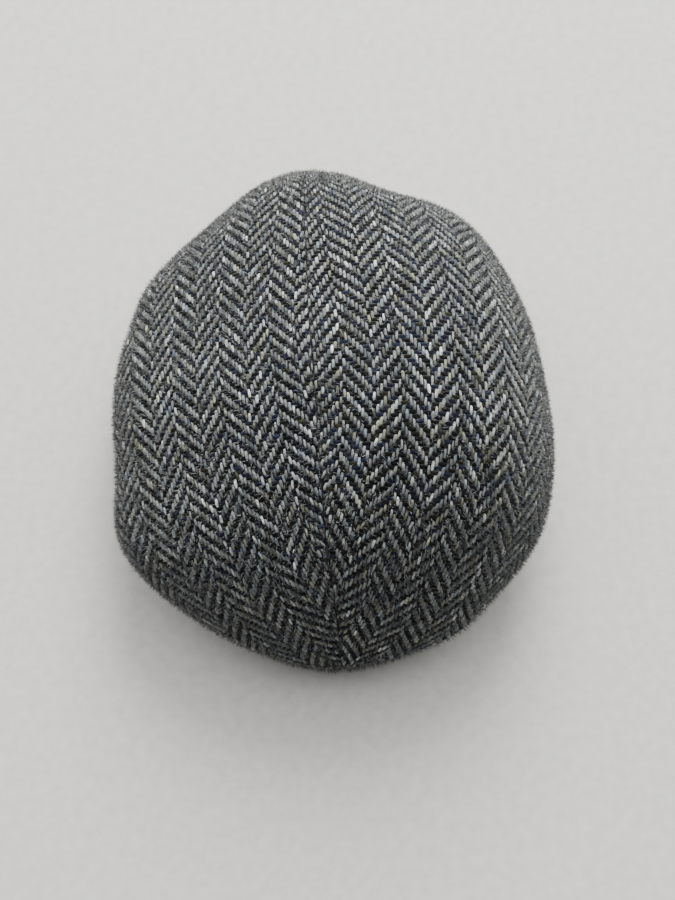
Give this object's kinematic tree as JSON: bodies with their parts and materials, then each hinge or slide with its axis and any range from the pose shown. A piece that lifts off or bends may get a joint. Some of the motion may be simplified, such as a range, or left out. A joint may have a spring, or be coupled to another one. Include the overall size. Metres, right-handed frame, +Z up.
{
  "type": "flat cap",
  "caption": "Flat cap in herringbone wool tweed, its full crown joined along a centre seam and rolled over a stiff peak, with a dark sweatband round the head opening.",
  "frame": {"origin": "centre of the bounding box on the plane that the cap rests on", "axes": "+Z up, -Y towards the peak, +X towards the wearer's left"},
  "size_m": [0.2231, 0.2739, 0.1114],
  "materials": {
    "tweed": "fuzzy herringbone wool tweed, off-white on charcoal and navy",
    "peak_tweed": "the same tweed drawn smooth over a stiff board",
    "sweatband": "near-black woven band, matt"
  },
  "bodies": {
    "root": {"crown_left": "tweed", "crown_right": "tweed", "peak": "peak_tweed", "sweatband": "sweatband"}
  },
  "joints": []
}
